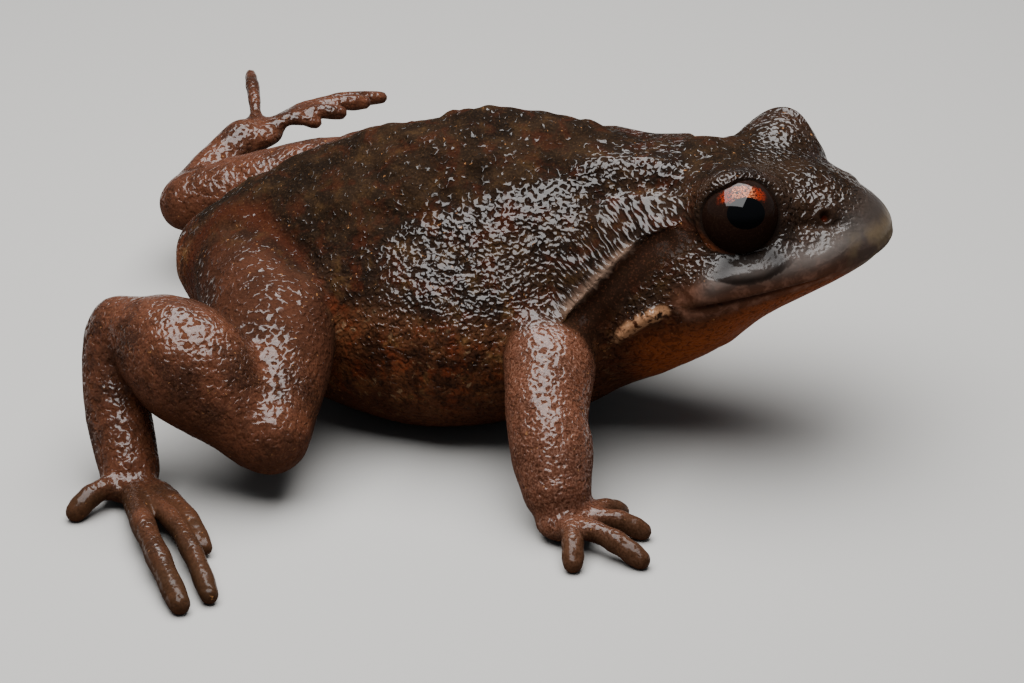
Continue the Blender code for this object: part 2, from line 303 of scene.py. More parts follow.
def straighten(points):
    # the inverse of bend, by repeating along = x + side sin(angle), side = (y - spine) / cos(angle)
    x, y, height = np.moveaxis(np.asarray(points, float), -1, 0)
    along = x.copy()
    for _ in range(4):
        angle = turnAt(along)
        side = (y - np.interp(along, spineAlong, spineSide)) / np.cos(angle)
        along = x + side * np.sin(angle)
    return np.stack([along, side, height], axis=-1)


def sideAt(along, height):
    # how far out the body's surface is at a height: half (1 - |h|^p)^(1/p)
    top, bottom, widest, half, upPower, lowPower = bodyRow(along).T
    above = height >= widest
    reach = np.where(above, top - widest, widest - bottom)
    power = np.where(above, upPower, lowPower)
    share = np.clip(np.abs(height - widest) / np.maximum(reach, 1e-6), 0, 1)
    return half * (1 - share ** power) ** (1 / power)


def surfaceLine(pairs, count=50):
    # a line on the body's left surface through (along, height) pairs
    pairs = np.array(pairs, float)
    run = np.concatenate([[0], np.cumsum(np.linalg.norm(np.diff(pairs, axis=0), axis=1))])
    line = through(run, pairs, np.linspace(0, run[-1], count))
    return np.stack([line[:, 0], sideAt(line[:, 0], line[:, 1]), line[:, 1]], axis=-1)


# joints as x, y, z and radius
limbForm = {
    "upperArmRight": [(5.3, -4.0, 5.6, 1.6), (5.95, -6.6, 4.9, 1.75), (6.2, -8.7, 4.05, 1.7)],
    "forearmRight": [(6.25, -9.0, 3.85, 1.62), (6.7, -10.0, 2.9, 1.68), (7.2, -11.1, 1.65, 1.4)],
    "upperArmLeft": [(5.2, 4.0, 5.6, 1.5), (5.0, 6.6, 4.9, 1.6), (4.6, 8.3, 4.1, 1.55)],
    "forearmLeft": [(4.7, 8.5, 3.9, 1.45), (5.3, 8.9, 2.6, 1.5), (6.4, 9.4, 0.95, 1.3)],
    "thighRight": [(-7.8, -2.4, 5.7, 2.6), (-5.8, -7.0, 4.8, 2.45), (-4.5, -11.4, 2.9, 1.75)],
    "shankRight": [(-5.1, -11.6, 2.9, 1.5), (-8.3, -10.6, 5.4, 2.45), (-11.4, -9.2, 5.9, 1.35)],
    "tarsusRight": [(-11.7, -9.4, 5.5, 1.3), (-11.2, -10.7, 2.9, 1.35), (-10.2, -12.3, 1.05, 1.25)],
    "thighLeft": [(-8.0, 2.2, 5.6, 2.2), (-6.9, 6.4, 5.6, 2.2), (-5.7, 10.2, 5.9, 1.4)],
    "shankLeft": [(-5.9, 10.5, 5.5, 1.2), (-10.0, 9.8, 4.2, 1.85), (-14.25, 9.0, 3.3, 1.3)],
    "tarsusLeft": [(-14.5, 9.4, 3.4, 0.95), (-13.9, 11.1, 3.85, 1.0), (-12.9, 13.0, 4.8, 1.0)],
}

# all digits: joints as share of the length, lift, bow and radius
digitForm = {
    "palmRadii": (1.2, 1.2, 0.62),
    "rootRadius": 0.55,
    "rootGirth": 1.1,
    "arch": 0.25,
    "joints": [(0.4, 1.0, 1.0, 0.43), (0.75, 0.4, 0.35, 0.43), (1.0, -1.0, 0.0, 0.4)],
    "knuckle": 0.13,
    "knucklesAt": (0.42, 0.68, 0.9),
    "knuckleWidth": 0.07,
}

# digits as turn from the heading, length, rise, bow and girth
extremityForm = {
    "handRight": {"palm": (7.7, -11.9, 0.62), "heading": -14.0,
                  "digits": [(62, 2.7, 0, -6, 0.95), (24, 3.1, 0, 4, 0.95), (-14, 4.0, 0, -4, 1),
                             (-56, 3.0, 0, 6, 1)]},
    "handLeft": {"palm": (6.8, 9.9, 0.62), "heading": 8.0,
                 "digits": [(-62, 2.7, 0, 6, 0.95), (-24, 3.1, 0, -4, 0.95), (14, 4.0, 0, 4, 1),
                            (56, 3.0, 0, -6, 1)]},
    "footRight": {"palm": (-10.05, -12.9, 0.64), "heading": -57.0,
                  "digits": [(42, 2.2, 0, 0, 0.9), (14.5, 6.0, 0, 13, 0.78), (3.3, 9.7, 0, 6.5, 0.95),
                             (-4.2, 10.1, 0, -3, 1.08), (-66, 2.75, 0, -3, 1.05)]},
    "footLeft": {"palm": (-12.4, 13.5, 5.0), "heading": 44.0,
                 "digits": [(-22, 2.6, 13, 0, 0.64), (-14, 3.8, 12, 2, 0.64), (-5, 5.2, 9, 4, 0.66),
                            (2, 6.4, 5, 8, 0.66), (66, 4.6, 15, 0, 0.62)]},
}


def gridFaces(rows, columns, first=0):
    # quads of a grid that closes round its columns, and a cap at each end
    i, j = np.meshgrid(np.arange(rows - 1), np.arange(columns), indexing="ij")
    beside = (j + 1) % columns
    quads = np.stack([i * columns + j, i * columns + beside, (i + 1) * columns + beside,
                      (i + 1) * columns + j], axis=-1).reshape(-1, 4) + first
    start = list(range(first, first + columns))
    end = list(range(first + (rows - 1) * columns, first + rows * columns))
    return quads.tolist() + [start[::-1], end]


def bodyGrid():
    # rings of superellipses: side = half cos^(2/p), height = widest + reach sin^(2/p), bent with the spine
    angle = np.linspace(0.012, math.pi - 0.012, bodyForm["along"])
    along = bodyForm["vent"] + (bodyForm["snout"] - bodyForm["vent"]) * (1 - np.cos(angle)) / 2
    top, bottom, widest, half, upPower, lowPower = bodyRow(along).T[:, :, None]
    around = np.linspace(0, 2 * math.pi, bodyForm["around"], endpoint=False)[None, :]
    upper = np.sin(around) >= 0
    power = np.where(upper, upPower, lowPower)
    reach = np.where(upper, top - widest, widest - bottom)
    side = half * np.sign(np.cos(around)) * np.abs(np.cos(around)) ** (2 / power)
    height = widest + reach * np.sign(np.sin(around)) * np.abs(np.sin(around)) ** (2 / power)
    return bend(np.stack([np.broadcast_to(along[:, None], side.shape), side, height], axis=-1))


def limbRun(joints, samples):
    # the curve through the joints, radius with it
    joints = np.array(joints, float)
    knots = np.concatenate([[0], np.cumsum(np.linalg.norm(np.diff(joints[:, :3], axis=0), axis=1))])
    return through(knots, joints, np.linspace(0, knots[-1], samples))


def roundEnd(end, inner):
    # circles over a limb's end: end + radius sin(a) outwards, with radius cos(a)
    away = (end[:3] - inner[:3]) / np.linalg.norm(end[:3] - inner[:3])
    cap = np.radians([15, 30, 45, 60, 72, 84])
    return np.column_stack([end[:3] + away * end[3] * np.sin(cap)[:, None], end[3] * np.cos(cap)])


def limbGrid(joints, samples=44, columns=40, knuckles=()):
    # a circle carried along the limb's curve, closed by round ends; knuckles swell it by bells
    run = limbRun(joints, samples)
    if knuckles:
        share = np.linspace(0, 1, samples)[:, None]
        swelling = bell(share - np.array(knuckles), digitForm["knuckleWidth"]).sum(axis=1)
        run[:, 3] *= 1 + digitForm["knuckle"] * swelling
    run = np.concatenate([roundEnd(run[0], run[1])[::-1], run, roundEnd(run[-1], run[-2])])
    along = np.gradient(run[:, :3], axis=0)
    along /= np.linalg.norm(along, axis=1)[:, None]
    guide = np.eye(3)[np.argmin(np.abs(run[-1, :3] - run[0, :3]))]
    across = np.cross(along, guide)
    across /= np.linalg.norm(across, axis=1)[:, None]
    other = np.cross(along, across)
    turn = np.linspace(0, 2 * math.pi, columns, endpoint=False)
    ring = across[:, None, :] * np.cos(turn)[None, :, None] + other[:, None, :] * np.sin(turn)[None, :, None]
    return run[:, None, :3] + ring * run[:, 3][:, None, None]


def ballGrid(centre, radii, rows=30, columns=48):
    # an ellipsoid as rings from pole to pole
    tilt = np.linspace(0.03, math.pi - 0.03, rows)[:, None]
    turn = np.linspace(0, 2 * math.pi, columns, endpoint=False)[None, :]
    ring = np.stack([np.sin(tilt) * np.cos(turn), np.sin(tilt) * np.sin(turn),
                     np.broadcast_to(np.cos(tilt), (rows, columns))], axis=-1)
    return np.array(centre) + ring * np.array(radii)


def digitJoints(spec):
    # each digit from inside the palm, over its arch, to its tip
    start = np.array(spec["palm"], float)
    for turn, length, rise, bow, girth in spec["digits"]:
        path = [(*start, digitForm["rootRadius"] * min(girth * digitForm["rootGirth"], 1))]
        for share, lift, bent, radius in digitForm["joints"]:
            heading = math.radians(spec["heading"] + turn + bow * bent)
            ahead = np.array([math.cos(heading), math.sin(heading), math.sin(math.radians(rise))])
            reach = ahead * length * share
            path.append((*(start + reach + (0, 0, digitForm["arch"] * lift)), radius * girth))
        yield path


eyeForm = {
    "at": np.array([13.05, 3.35, 10.95]),
    "radius": 1.6,
    "cover": 0.22,
    "orbit": ((12.95, 2.55, 10.72), (2.25, 1.9, 1.95)),
    "opening": (0.265, 0.866, 0.423),  # the way the lids open, in the straight head
    "openAngle": 72.5,
    # by side: how far the upper lid comes down, where on the rim, and how wide
    "lidDroop": {-1: (24.0, 116.0, 40.0), 1: (34.0, 84.0, 60.0)},
    "lidThickness": 0.13,
    "farFromLid": -60.0,
    "gaze": (0.390, 0.799, 0.456),
}


def eyeFrame(side, direction):
    # the eye's centre and three axes: forward, up, and out along a direction given in the straight head
    turn = bodyForm["turn"]
    spin = np.array([[math.cos(turn), -math.sin(turn), 0], [math.sin(turn), math.cos(turn), 0], [0, 0, 1]])
    out = spin @ (np.array(direction) * (1, side, 1))
    out /= np.linalg.norm(out)
    forward = np.cross((0, 0, 1), out) * -side
    forward /= np.linalg.norm(forward)
    up = np.cross(out, forward)
    return bend(eyeForm["at"] * (1, side, 1)), forward, up * np.sign(up[2]), out


def openEye(points, side):
    # inside the opening the skin sinks under the eyeball, and round it lies on the ball as a thin lid
    centre, forward, up, out = eyeFrame(side, eyeForm["opening"])
    radius, thick = eyeForm["radius"], eyeForm["lidThickness"]
    away = points - centre
    distance = np.linalg.norm(away, axis=1)
    near = np.flatnonzero((distance < radius + 1.3) & (away @ out > -1.2))
    spoke = away[near] / distance[near][:, None]
    angle = np.degrees(np.arccos(np.clip(spoke @ out, -1, 1)))
    around = np.degrees(np.arctan2(spoke @ up, spoke @ forward))
    droop, middle, width = eyeForm["lidDroop"][side]
    upper = bell((around - middle + 180) % 360 - 180, width)
    past = angle - (eyeForm["openAngle"] - droop * upper)
    rim = radius + thick * 0.45 + (0.07 + 0.26 * upper) * np.clip(past / 16, 0, 1)
    free = step(past, 2 + 11 * upper, 8 + 18 * upper)
    lid = rim * (1 - free) + np.maximum(distance[near], radius + 0.1) * free
    sunk = step(past, -3.0, 1.5)
    # below the eye only what lies close to the ball moves, so the cheek stays full
    limit = radius + 0.34 + 0.60 * step(spoke @ up, -0.10, 0.35)
    share = step(distance[near], limit + 0.22, limit)
    shaped = radius - 0.3 + (lid - radius + 0.3) * sunk
    moved = points.copy()
    moved[near] = centre + spoke * (shaped * share + distance[near] * (1 - share))[:, None]
    band = np.full((len(points), 2), eyeForm["farFromLid"])
    band[near] = np.column_stack([past, around])
    return moved, band


skinForm = {
    "voxel": 0.085,
    "jointReach": 0.9,
    "jointRounds": 170,
    "mildRounds": 5,
    # how far each round smooths, by place
    "pull": {"joint": 0.6, "elbow": 0.4, "palm": 0.12, "head": 0.5, "most": 0.62, "mild": 0.4},
    # noise size, its shift, and its height in general and more on the back
    "bumps": [(2.1, 0.0, 0.10, 0.10), (0.95, 7.7, 0.04, 0.12), (0.45, 3.3, 0.015, 0.02)],
    "warts": {"count": 230, "radius": (0.26, 0.62), "height": (0.04, 0.14), "seed": 7},
    "triangles": 196000,
    "stroke": (0.73, 0.44, -0.52),
    "strokePress": 0.28,
}


def joinedMesh(grids):
    # all closed grids in one mesh, fused into a single outer surface of even quads
    points, faces, first = [], [], 0
    for grid in grids:
        rows, columns = grid.shape[:2]
        points.append(grid.reshape(-1, 3))
        faces += gridFaces(rows, columns, first)
        first += rows * columns
    mesh = bpy.data.meshes.new("skinParts")
    mesh.from_pydata((np.concatenate(points) * mm).tolist(), [], faces)
    holder = linked("skinParts", mesh)
    fuse = holder.modifiers.new("fuse", "REMESH")
    fuse.mode = "VOXEL"
    fuse.voxel_size = skinForm["voxel"] * mm
    return applied(holder)


def applied(holder):
    # the mesh of an object with its modifiers applied; the object is removed
    bpy.context.view_layer.update()
    mesh = bpy.data.meshes.new_from_object(holder.evaluated_get(bpy.context.evaluated_depsgraph_get()))
    bpy.data.objects.remove(holder)
    return mesh


def read(collection, name, width, kind=float):
    flat = np.empty(len(collection) * width, dtype=kind)
    collection.foreach_get(name, flat)
    return flat.reshape(-1, width) if width > 1 else flat


def writeMark(mesh, name, values):
    # one value for each point
    mesh.attributes.new(name, "FLOAT", "POINT").data.foreach_set("value", np.asarray(values, np.float32))


def relax(points, edges, weight, rounds):
    # each point moves by its weight towards the mean of its neighbours, again and again
    count = np.bincount(edges.ravel(), minlength=len(points)).astype(float)
    for _ in range(rounds):
        mean = np.stack([np.bincount(edges[:, 0], points[edges[:, 1], k], len(points))
                         + np.bincount(edges[:, 1], points[edges[:, 0], k], len(points))
                         for k in range(3)], axis=-1) / count[:, None]
        points = points + weight[:, None] * (mean - points)
    return points


def normalsOf(quads, points):
    # cross products of the faces' diagonals, summed at their corners
    across = np.cross(points[quads[:, 2]] - points[quads[:, 0]], points[quads[:, 3]] - points[quads[:, 1]])
    normal = np.stack([sum(np.bincount(quads[:, c], across[:, k], len(points)) for c in range(4))
                       for k in range(3)], axis=-1)
    return normal / np.maximum(np.linalg.norm(normal, axis=1), 1e-12)[:, None]


def limbDistance(points, joints):
    # distance to a limb: the nearest of its cones, less the radius there
    run = limbRun(joints, 9)
    best = np.full(len(points), 1e9)
    for a, b in zip(run[:-1], run[1:]):
        line = b[:3] - a[:3]
        t = np.clip(((points - a[:3]) @ line) / (line @ line), 0, 1)
        gap = np.linalg.norm(points - a[:3] - t[:, None] * line, axis=1) - (a[3] + t * (b[3] - a[3]))
        best = np.minimum(best, gap)
    return best


def bodyDistance(straight):
    # rough distance to the trunk: (superellipse radius - 1) times the smaller reach
    along, side, height = straight.T
    inside = np.clip(along, bodyForm["vent"] + 0.05, bodyForm["snout"] - 0.05)
    top, bottom, widest, half, upPower, lowPower = bodyRow(inside).T
    above = height >= widest
    reach, half = np.maximum(np.where(above, top - widest, widest - bottom), 0.2), np.maximum(half, 0.2)
    power = np.where(above, upPower, lowPower)
    radius = ((np.abs(side) / half) ** power + (np.abs(height - widest) / reach) ** power) ** (1 / power)
    return (radius - 1) * np.minimum(reach, half) + np.abs(along - inside)


noiseTable = np.random.default_rng(41).random((32, 32, 32))


def valueNoise(points, size, shift=0.0):
    # smooth lattice noise, -1 to 1: random corner values blended by 3t^2 - 2t^3
    where = points / size + np.array([11.3, 5.7, 3.1]) + shift
    cell = np.floor(where).astype(int)
    t = where - cell
    t = t * t * (3 - 2 * t)
    total = np.zeros(len(points))
    for corner in range(8):
        offset = np.array([corner & 1, corner >> 1 & 1, corner >> 2 & 1])
        at = (cell + offset) % 32
        total += np.prod(np.where(offset, t, 1 - t), axis=1) * noiseTable[at[:, 0], at[:, 1], at[:, 2]]
    return 2 * total - 1


def lineGap(points, line, reach):
    # distance to a line of points for what lies within reach of it, and the share of the way along
    gap, share = np.full(len(points), 1e3), np.zeros(len(points))
    low, high = line.min(axis=0) - reach, line.max(axis=0) + reach
    near = np.flatnonzero(((points > low) & (points < high)).all(axis=1))
    spot = points[near]
    for k, (a, b) in enumerate(zip(line[:-1], line[1:])):
        span = b - a
        t = np.clip(((spot - a) @ span) / (span @ span), 0, 1)
        now = np.linalg.norm(spot - a - t[:, None] * span, axis=1)
        closer = now < gap[near]
        gap[near] = np.where(closer, now, gap[near])
        share[near] = np.where(closer, (k + t) / (len(line) - 1), share[near])
    return gap, share


def bell(gap, width, power=2):
    # exp(-(gap / width)^power)
    return np.exp(-(gap / width) ** power)


# the face's single places, in millimetres, as (along, height) in the straight body
faceForm = {
    "mouthCorner": (11.6, 7.55),
    "mouthTip": 9.0,
    "mouthEnd": 0.03,  # how far short of the snout the line stops
    "mouthCut": (0.20, 0.085),
    "upperEdge": (0.07, 0.22, 0.144),  # height, how far from the cut, width
    "lowerEdge": (-0.07, 0.10, 0.50),
    "nostril": (16.27, 10.80),
    "nostrilRim": (0.07, 0.25, 0.10),
    "nostrilPit": (-0.34, 0.16),
    "crown": (-0.36, 1.15),
}

# ridges and hollows along lines of (along, height) pairs, with height and width, in millimetres
ridgeForm = {
    "lip": ([(11.2, 7.95), (11.6, 8.15), (12.2, 8.4), (12.7, 8.62), (13.3, 8.86), (13.9, 8.96),
        (14.75, 9.12), (15.55, 9.24), (16.1, 9.36), (16.7, 9.58), (17.2, 9.82), (17.7, 10.05)], 0.28, 0.60),
    "cheekLedge": ([(11.9, 8.4), (12.3, 8.6), (12.9, 8.8), (13.6, 8.98), (14.3, 9.12), (15.0, 9.3),
        (15.8, 9.5), (16.6, 9.75)], 0.24, 0.50),
    "canthus": ([(14.9, 11.35), (15.5, 11.2), (16.2, 11.05), (16.8, 10.9)], 0.10, 0.34),
    "noseHollow": ([(15.1, 10.62), (15.6, 10.62), (16.2, 10.56), (16.8, 10.52), (17.1, 10.6)], -0.16, 0.24),
    "gland": ([(10.5, 7.3), (10.04, 7.08), (9.52, 6.74), (8.83, 6.14), (8.4, 5.7)], 0.46, 0.34),
    "shoulderRidge": ([(10.2, 11.85), (9.5, 11.85), (8.4, 11.85), (7.4, 11.8), (6.7, 11.75),
        (6.0, 11.55), (5.3, 11.2)], 0.24, 0.50),
    "shoulderHollow": ([(10.6, 11.45), (9.9, 11.42), (8.6, 11.28), (7.7, 11.1), (7.05, 10.85),
        (6.6, 10.4)], -0.16, 0.32),
    "armHollow": ([(6.9, 10.0), (6.75, 9.3), (6.5, 8.6)], -0.12, 0.45),
    "sideSwell": ([(-5.5, 6.4), (-3.0, 6.2), (-0.5, 6.1), (2.0, 6.1), (4.0, 6.2), (6.0, 6.6)], 0.50, 2.1),
}
# shares of a line over which it fades, and how much wider the ledge is on its upper side
ridgeFade = {"start": 0.12, "end": 0.85, "ledgeEnd": 0.45, "ledgeFill": 1.8}

# the pale fold above the arm and the dark band under it
foldForm = {
    "line": [(10.6, 10.42), (10.1, 10.28), (9.61, 10.07), (9.15, 9.80), (8.71, 9.35), (8.21, 8.87),
        (7.75, 8.35), (7.32, 7.86), (6.84, 7.34), (6.35, 6.82), (6.0, 6.4)],
    "height": 0.06,
    "widthAbove": 0.544,
    "widthBelow": 0.17,
    "step": (0.18, 0.5, 0.36),  # depth, how far from the fold, width
    "bandLow": [(12.0, 10.3), (11.28, 9.93), (10.38, 9.18), (9.64, 8.43), (8.83, 7.51), (8.26, 6.65),
        (7.84, 6.04), (7.2, 5.0)],
}

# where the skin is wet: the height at which the dry back begins, and dry or wet spots as
# (along, height, half length, half height, turn, share added)
wetForm = {
    "backEdge": [(-8.0, 7.3), (-4.0, 8.1), (-1.5, 8.9), (-0.9, 9.3), (0.0, 9.9), (1.0, 10.2), (2.0, 10.45),
        (3.0, 10.8), (4.2, 10.95), (5.3, 11.35), (6.0, 11.8), (6.7, 12.05), (9.5, 12.1), (10.5, 11.75),
        (12.0, 11.7), (14.0, 12.2), (15.0, 12.0), (16.0, 11.65), (17.0, 11.2), (18.0, 10.4)],
    "spots": [
        (8.4, 11.34, 1.9, 0.20, 8, 0.75),
        (11.15, 10.7, 0.50, 1.25, 0, 0.9),
        (6.9, 10.75, 0.55, 0.35, 35, 0.80),
        (7.0, 9.8, 0.45, 0.6, 0, 0.55),
        (10.2, 9.3, 1.3, 0.50, 40, 0.9),
        (10.7, 8.0, 1.0, 0.55, 10, 0.55),
        (13.2, 12.45, 0.8, 0.45, 0, -0.9),
        (4.2, 11.1, 0.9, 0.2, 10, -0.35),
        (16.2, 10.55, 0.9, 0.22, -5, 0.9),
        (14.2, 10.9, 0.5, 1.3, 0, 0.6),
    ],
}


def mouthLine():
    # from the corner to the middle of the snout, its height rising evenly
    corner, low = faceForm["mouthCorner"]
    front = bodyForm["snout"] - faceForm["mouthEnd"]
    along = front - (front - corner) * np.linspace(1, 0, 80) ** 1.7
    height = low + (faceForm["mouthTip"] - low) * (along - corner) / (bodyForm["snout"] - corner)
    return np.stack([along, sideAt(along, height), height], axis=-1)


def aboveLine(straight, pairs):
    # signed height over a line of (along, height) pairs, measured square to it
    pairs = np.array(sorted(pairs), float)
    middles = (pairs[1:, 0] + pairs[:-1, 0]) / 2
    slope = np.interp(straight[:, 0], middles, np.diff(pairs[:, 1]) / np.diff(pairs[:, 0]))
    return (straight[:, 2] - np.interp(straight[:, 0], pairs[:, 0], pairs[:, 1])) / np.sqrt(1 + slope ** 2)


def ridgeRelief(both, marks):
    # the sum over the lines of height exp(-(gap / width)^2), faded at both ends
    relief = np.zeros(len(both))
    for name, (pairs, height, width) in ridgeForm.items():
        gap, share = lineGap(both, surfaceLine(pairs), 4 * width)
        spread, end = width, ridgeFade["end"]
        if name == "cheekLedge":  # the slope from the eye's rim out to the ledge is filled
            spread = np.where(aboveLine(both, pairs) > 0, width * ridgeFade["ledgeFill"], width)
            end = ridgeFade["ledgeEnd"]
        relief += height * bell(gap, spread) * step(share, 0, ridgeFade["start"]) * step(share, 1, end)
        if name in ("lip", "gland"):
            marks[name] = bell(gap, width)
    return relief


def foldRelief(both, marks):
    # a low ridge along the fold, and a step down under it where the band lies
    gap, share = lineGap(both, surfaceLine(foldForm["line"]), 2.0)
    above = aboveLine(both, foldForm["line"])
    ends = step(share, 0, 0.08) * step(share, 1, 0.9)
    width = np.where(above > 0, foldForm["widthAbove"], foldForm["widthBelow"])
    depth, away, reach = foldForm["step"]
    paleWidth = np.where(above < 0, 0.07, 0.16 + 0.24 * share ** 2)
    marks["fold"] = ends * step(share, 0.26, 0.40) * bell(gap, paleWidth)
    along, side = both[:, 0], both[:, 1]
    low = aboveLine(both, foldForm["bandLow"])
    onSide = (side > 2.8) & (along > 5.6) & (along < 13) & (bodyDistance(both) < 0.8)
    bandEnds = step(along, 5.9, 6.5) * step(along, 12.2, 11.0)
    marks["band"] = onSide * step(above, -0.02, -0.12) * step(low, -0.30, 0.25) * bandEnds
    marks["combed"] = onSide * step(above, -0.1, 0.15) * step(above, 2.6, 1.2)
    return ends * (foldForm["height"] * bell(gap, width) - depth * bell(gap - away, reach) * (above < 0))


def crownHollow(both):
    # the shallow dip between the eyes
    height, width = faceForm["crown"]
    along = both[:, 0]
    ends = step(along, 10.8, 12.4) * step(along, 15.4, 14.0)
    return height * bell(both[:, 1], width) * ends * (both[:, 2] > 10)


def mouthRelief(both, marks):
    # the cut between the lips, a fine edge over it and a hollow under it
    line = mouthLine()
    gap, share = lineGap(both, line, 1.6)
    over = both[:, 2] - np.interp(both[:, 0], line[:, 0], line[:, 2])
    depth, width = faceForm["mouthCut"]
    raised, raisedAt, raisedWidth = faceForm["upperEdge"]
    sunk, sunkAt, sunkWidth = faceForm["lowerEdge"]
    marks["mouth"] = bell(gap, 0.11) * step(share, -0.02, 0.04)
    marks["upperLip"] = (over > 0) * bell(gap - 0.5, 0.50)
    marks["lowerLip"] = (over <= 0) * bell(gap - 0.3, 0.25)
    upper, lower = raised * bell(gap - raisedAt, raisedWidth), sunk * bell(gap - sunkAt, sunkWidth)
    edges = np.where(over > 0, upper, lower)
    return step(share, 0.0, 0.06) * (edges - depth * bell(gap, width))


def nostrilRelief(both, marks):
    # a pit with a low rim
    along, height = faceForm["nostril"]
    spot = np.array([along, sideAt(np.array([along]), height)[0], height])
    gap = np.linalg.norm((both - spot) / (1.15, 1, 1), axis=1)
    marks["nostril"] = bell(gap, 0.19)
    marks["nostrilRound"] = bell(gap, 0.55)
    rim, rimAt, rimWidth = faceForm["nostrilRim"]
    pit, pitWidth = faceForm["nostrilPit"]
    return rim * bell(gap - rimAt, rimWidth) + pit * bell(gap, pitWidth)


def dryness(straight, start, onTrunk):
    # start plus the share of each spot's bell over its ellipse of (along, height)
    dry = start + onTrunk * 0.8 * step(straight[:, 0], -0.6, -1.9)
    for along, height, wide, tall, turn, share in wetForm["spots"]:
        c, s = math.cos(math.radians(turn)), math.sin(math.radians(turn))
        x, z = straight[:, 0] - along, straight[:, 2] - height
        size = ((x * c + z * s) / wide) ** 2 + ((z * c - x * s) / tall) ** 2
        dry = dry + onTrunk * share * np.exp(-size ** 1.5)
    return np.clip(dry, 0, 1)


def wartRelief(points, chosen, form):
    # round warts: height (1 - (gap / radius)^2)^2 about seeded places among the chosen points
    rng = np.random.default_rng(form["seed"])
    count = form["count"]
    centres = points[rng.choice(np.flatnonzero(chosen), count, replace=False)]
    radii, heights = rng.uniform(*form["radius"], count), rng.uniform(*form["height"], count)
    relief = np.zeros(len(points))
    for centre, radius, height in zip(centres, radii, heights):
        near = np.flatnonzero((np.abs(points - centre) < radius).all(axis=1))
        gap = np.linalg.norm(points[near] - centre, axis=1) / radius
        relief[near] = np.maximum(relief[near], height * (1 - np.minimum(gap, 1) ** 2) ** 2)
    return relief


def bumpRelief(points, dorsum):
    # smooth noise of three sizes, each (low + more on the dry back) times its noise
    return sum((low + more * dorsum) * valueNoise(points, size, shift)
               for size, shift, low, more in skinForm["bumps"])


print("frog: body, limbs, hands and feet as grids")
grids = [bodyGrid()]
grids += [limbGrid(joints) for joints in limbForm.values()]
grids += [ballGrid(spec["palm"], digitForm["palmRadii"]) for spec in extremityForm.values()]
for spec in extremityForm.values():
    grids += [limbGrid(joints, 40, 28, digitForm["knucklesAt"]) for joints in digitJoints(spec)]
eyesAt = [bend(eyeForm["at"] * (1, side, 1)) for side in (-1, 1)]
for side, place in zip((-1, 1), eyesAt):
    grids.append(ballGrid(bend(np.array(eyeForm["orbit"][0]) * (1, side, 1)), eyeForm["orbit"][1]))
    grids.append(ballGrid(place, (eyeForm["radius"] + eyeForm["cover"],) * 3, 40, 60))
skinMesh = joinedMesh(grids)
points = read(skinMesh.vertices, "co", 3) / mm
edges = read(skinMesh.edges, "vertices", 2, np.int32)
quads = read(skinMesh.loops, "vertex_index", 1, np.int32).reshape(-1, 4)
print("frog: fused skin has", len(points), "points")

# creases between neighbouring parts are smoothed, thin digits are left as they are
straight = straighten(points)
fromBody = bodyDistance(straight)
fromLimbs = np.min([limbDistance(points, joints) for joints in limbForm.values()], axis=0)
palmsAt = [np.array(spec["palm"]) for spec in extremityForm.values()]
fromPalms, fromEyes = (np.min([np.linalg.norm(points - place, axis=1) for place in places], axis=0)
                       for places in (palmsAt, eyesAt))
reach, pull = skinForm["jointReach"], skinForm["pull"]
weight = pull["joint"] * bell(np.clip(fromBody, 0, None), reach) * bell(np.clip(fromLimbs, 0, None), reach)
for hand in ("Right", "Left"):
    for upper in ("upperArm", "thigh", "shank"):
        x, y, z, radius = limbForm[upper + hand][-1]
        spread = np.linalg.norm(points - (x, y, z), axis=1)
        weight = np.maximum(weight, pull["elbow"] * bell(spread, radius * 1.3, 4))
weight += pull["palm"] * bell(fromPalms, 1.9, 4)
weight += pull["head"] * bell(np.linalg.norm(straight * (1, 0, 1) - (12.8, 0, 10.8), axis=1), 3.4, 4)
weight = np.clip(weight, 0, pull["most"]) * step(fromEyes, eyeForm["radius"] + 0.16, eyeForm["radius"] + 0.60)
points = relax(points, edges, weight, skinForm["jointRounds"])
points = relax(points, edges, np.full(len(points), pull["mild"]), skinForm["mildRounds"])
print("frog: junctions smoothed")

# relief of the face, folds, warts and low swellings, moved along the normals
straight = straighten(points)
both = straight * (1, 0, 1) + np.abs(straight) * (0, 1, 0)
along, height = straight[:, 0], straight[:, 2]
fromBody = bodyDistance(straight)
marks = {}
relief = ridgeRelief(both, marks) + foldRelief(both, marks) + crownHollow(both)
relief += mouthRelief(both, marks) + nostrilRelief(both, marks)
onHead = step(along, 11.0, 13.5) * step(height, 4.0, 6.0)
thick = step(np.minimum(fromPalms - 1.3, 3.0), 0.2, 1.6) * (1 - 0.75 * onHead)
belly = step(points[:, 2], 2.6, 0.6)
onTrunk = step(fromBody, 0.9, 0.2)
overEdge = height - np.interp(along, *np.array(wetForm["backEdge"]).T)
dorsum = onTrunk * step(overEdge, -0.35, 0.55)
relief += thick * (1 - belly) * bumpRelief(points, dorsum)
normals = normalsOf(quads, points)
upper = (points[:, 2] > 3.0) & (onHead < 0.2) & (fromPalms > 2.2)
relief += wartRelief(points, upper, skinForm["warts"]) * thick * (0.25 + 0.75 * dorsum)
clear = step(fromEyes, eyeForm["radius"] + 0.16, eyeForm["radius"] + 0.42)
points = points + normals * (relief * clear)[:, None]

lidBand = np.full((len(points), 2), eyeForm["farFromLid"])
for side in (-1, 1):
    points, band = openEye(points, side)
    lidBand = np.where(band[:, :1] > lidBand[:, :1], band, lidBand)
lidPast, lidAround = lidBand.T
points[:, 2] = np.maximum(points[:, 2], 0.0)
print("frog: relief and lids done")

